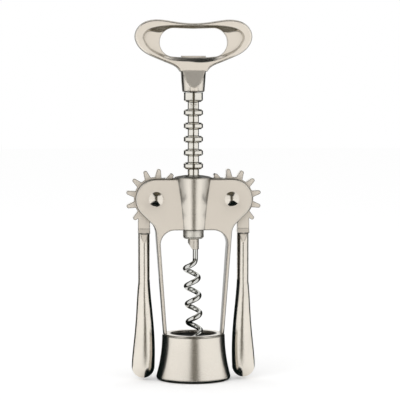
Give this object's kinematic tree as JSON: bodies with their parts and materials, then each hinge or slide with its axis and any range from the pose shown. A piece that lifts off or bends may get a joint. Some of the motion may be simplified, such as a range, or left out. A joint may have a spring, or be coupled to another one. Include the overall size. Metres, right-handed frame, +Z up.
{
  "type": "wing corkscrew",
  "caption": "Wing corkscrew: a T-handle with cap lifter turns a worm in a ring rack, and two geared levers pull the cork through the bell.",
  "frame": {"origin": "centre of the bell's bottom rim", "axes": "+Z up along the worm's axis, X across the two levers, -Y towards the viewer of the picture"},
  "size_m": [0.0704, 0.039, 0.1886],
  "materials": {
    "satin_casting": "satin nickel plate",
    "polished_steel": "polished",
    "black_plastic": "matte"
  },
  "bodies": {
    "frame": {"front_frame_half": "satin_casting", "rear_frame_half": "satin_casting", "bell": "satin_casting", "bell_liner": "black_plastic", "left_pivot_rivet": "polished_steel", "right_pivot_rivet": "polished_steel"},
    "rack": {"ring_rack": "satin_casting"},
    "screw": {"handle": "satin_casting", "cross_pin": "polished_steel", "spindle": "satin_casting", "worm": "polished_steel"},
    "left_wing": {"left_lever": "satin_casting"},
    "right_wing": {"right_lever": "satin_casting"}
  },
  "joints": [
    {"name": "left_lever_swing", "type": "hinge", "parent": "frame", "child": "left_wing", "pos_m": [-0.0198, 0, 0.09515], "axis": [0, 1, 0], "range_deg": [0, 150]},
    {"name": "right_lever_swing", "type": "hinge", "parent": "frame", "child": "right_wing", "pos_m": [0.0198, 0, 0.09515], "axis": [0, -1, 0], "range_deg": [0, 150]},
    {"name": "rack_slide", "type": "slide", "parent": "frame", "child": "rack", "axis": [0, 0, 1], "range_m": [-0.0378, 0]},
    {"name": "handle_turn", "type": "hinge", "parent": "rack", "child": "screw", "pos_m": [0, 0, 0.15], "axis": [0, 0, 1], "continuous": true}
  ],
  "couplings": [
    {"joint": "right_lever_swing", "follows": "left_lever_swing", "ratio": 1},
    {"joint": "rack_slide", "follows": "left_lever_swing", "m_per_rad": -0.01438}
  ]
}
